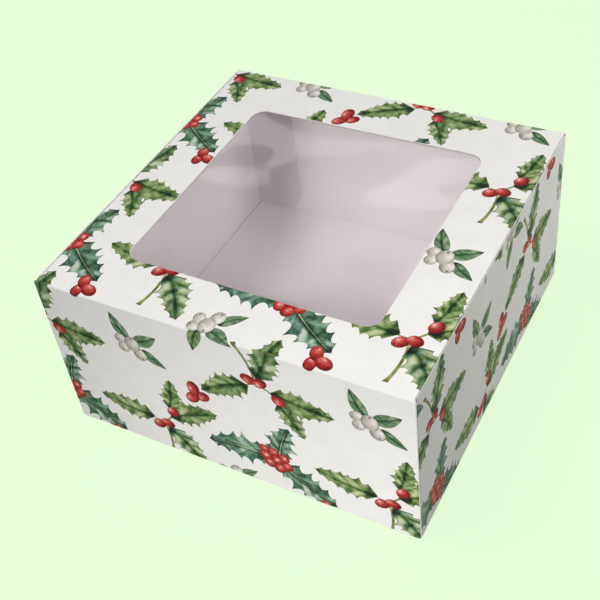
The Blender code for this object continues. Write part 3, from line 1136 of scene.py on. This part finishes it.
def ceiling_glow(net, x, y):
    """Strength over the ceiling: more at the right and back, less at the near end and in slanted strips."""
    slant = x + y * 0.5 + 0.3

    def spot(centre_x, centre_y, reach):
        return net.spread(net.size(x - centre_x, y - centre_y), 0.0, reach, 1.0, 0.0)

    terms = (
        (1.59, net.spread(x, -1.27, -0.40), net.spread(y, 1.08, 1.47)),
        (-1.83, net.spread(abs(slant), 0.02, 0.17, 1.0, 0.0), net.spread(y, 1.17, 1.51)),
        (-21.35, net.spread(x, -0.87, -0.72), net.spread(y, 0.47, 1.29, 1.0, 0.0)),
        (-6.52, net.spread(x, -1.16, -0.39), net.spread(y, 0.68, 1.34, 1.0, 0.0)),
        (-0.56, net.spread(slant, -0.36, -0.23, 1.0, 0.0), 1.0),
        (-0.72, net.spread(slant, -0.10, -0.04, 1.0, 0.0), net.spread(y, 1.50, 1.64)),
        (-1.74, spot(-0.66, 1.31, 0.22), 1.0),
        (0.53, spot(-0.58, 1.63, 0.39), 1.0),
    )
    value = 2.38
    for amount, one, other in terms:
        value += one * other * amount
    return net.math("MAXIMUM", value, 0.0)


def ceiling_material():
    """Glow of the ceiling panel, which fades away at the panel's border."""
    net = Net("ceiling_glow")
    x, y, _ = net.apart(net.place())
    left, near, right, far = CEILING
    glow = net.node("Emission", {"Color": PANEL_COLOUR, "Strength": ceiling_glow(net, x, y)})
    clear = net.node("BsdfTransparent", {"Color": CLEAR})

    def inside(along, low, high):
        half = (high - low) / 2
        away = abs(along - (low + high) / 2)
        return net.spread(away, half - CEILING_BORDER, half, 1.0, 0.0)

    share = inside(x, left, right) * inside(y, near, far)
    return net.surface(net.node("MixShader", {0: share, 1: clear, 2: glow}))


def shape_material(name, strength):
    """A see-through glow that adds to what is above it."""
    net = Net(name)
    glow = net.node("Emission", {"Color": PANEL_COLOUR, "Strength": strength})
    clear = net.node("BsdfTransparent", {"Color": CLEAR})
    return net.surface(net.node("AddShader", {0: clear, 1: glow}))


def level_face(name, corners, height, material):
    made = mesh_object(name, [(x, y, height) for x, y in corners], [range(len(corners))], [material])
    return made


def panel(name, corners, height, material):
    """A studio panel over the box that only mirrors show."""
    made = level_face(name, corners, height, material)
    for kind in ("camera", "diffuse", "transmission", "volume_scatter", "shadow"):
        setattr(made, "visible_" + kind, False)


def floor_material():
    """The background's colour with slight shadows where the floor is seen, and a grey for the light."""
    net = Net("studio_floor")
    seen = net.seen()
    glow = net.node("Emission", {"Color": tuple(part * (1 - FLOOR_LIGHT * SHADED) for part in BACKGROUND)})
    matt = net.node("BsdfDiffuse", {"Color": tuple(SHADED * part for part in BACKGROUND)})
    shown = net.node("AddShader", {0: glow, 1: matt})
    neutral = net.node("BsdfDiffuse", {"Color": (0.4, 0.4, 0.4)})
    return net.surface(net.node("MixShader", {0: seen, 1: neutral, 2: shown}))


def studio():
    """Floor, world, lights and panels."""
    corners = box_outline(-FLOOR_REACH, -FLOOR_REACH, FLOOR_REACH, FLOOR_REACH)
    level_face("studio_floor", corners, 0, floor_material()).location.z = -FLOOR_DROP
    bpy.context.scene.world = studio_world()
    for light in LIGHTS:
        area_light(*light)
    panel("ceiling_panel", box_outline(*CEILING), CEILING_HEIGHT, ceiling_material())
    for name, (glow, corners) in LIGHT_SHAPES.items():
        panel(name, corners, SHAPE_HEIGHT, shape_material(name, glow))


# The box

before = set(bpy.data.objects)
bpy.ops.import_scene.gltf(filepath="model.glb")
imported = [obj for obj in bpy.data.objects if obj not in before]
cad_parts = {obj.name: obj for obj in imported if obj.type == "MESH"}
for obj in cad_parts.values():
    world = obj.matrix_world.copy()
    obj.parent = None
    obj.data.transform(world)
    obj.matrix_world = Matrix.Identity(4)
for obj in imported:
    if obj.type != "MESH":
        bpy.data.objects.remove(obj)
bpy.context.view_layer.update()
set_camera()

BOARD_MATERIALS = [coated_board(), inner_board(), raw_edge()]
INK_SLOTS = {}
for name, ink in inks().items():
    INK_SLOTS[name] = len(BOARD_MATERIALS)
    BOARD_MATERIALS.append(ink)

lid = lid_sheet()
pieces = (
    ("lid_board", ["lid"], "lid", "lid_panel"),
    ("front_flap_board", ["front"], "drop_front", "front_flap"),
    ("back_wall_board", ["back", "back_foot"], "tray", "back_wall"),
    ("left_dust_flap_board", ["left_dust"], "left_dust", "left_dust_flap"),
    ("right_dust_flap_board", ["right_dust"], "right_dust", "right_dust_flap"),
)
for name, regions, body, node in pieces:
    piece = make_piece(name, lid, regions)
    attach(piece, body)
    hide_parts(node)

# Each crease with its first and second body and its start and end; the piece is made where it lies, and these
# are not used to blend it
lid_low, lid_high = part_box("lid_panel")
top = lid_high.z
level = top - FOLD
creases = (
    ("front", "lid", "drop_front", (0, lid_low.y + FOLD, top), (0, lid_low.y, level)),
    ("back", "tray", "lid", (0, lid_high.y, level), (0, lid_high.y - FOLD, top)),
    ("left_dust", "lid", "left_dust", (lid_low.x + FOLD, 0, top), (lid_low.x, 0, level)),
    ("right_dust", "lid", "right_dust", (lid_high.x - FOLD, 0, top), (lid_high.x, 0, level)),
)
for name, first, second, start, end in creases:
    piece = make_piece(name + "_crease", lid, [name + "_fold"])
    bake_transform(piece)

walls = (
    ("left_wall", wall_sheet("left_wall", -1)),
    ("right_wall", wall_sheet("right_wall", 1)),
    ("front_wall", front_sheet()),
)
for node, sheet in walls:
    piece = make_piece(node + "_board", sheet, ["wall", "foot", "end"])
    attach(piece, "tray")
    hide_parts(node)

film = film_piece()
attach(film, "lid")
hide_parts("window_film")

# The solids that no piece replaces get their own finish
glue, tab, floor_board = dried_glue(), tab_board(), folded_board()
for name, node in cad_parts.items():
    if node.hide_render:
        continue
    node.data.materials.clear()
    node.data.materials.append(glue if "glue" in name else tab if "tab" in name else floor_board)
    "dried_glue" if "glue" in name else "plain_board"

studio()
bpy.context.scene.view_settings.view_transform = "Standard"
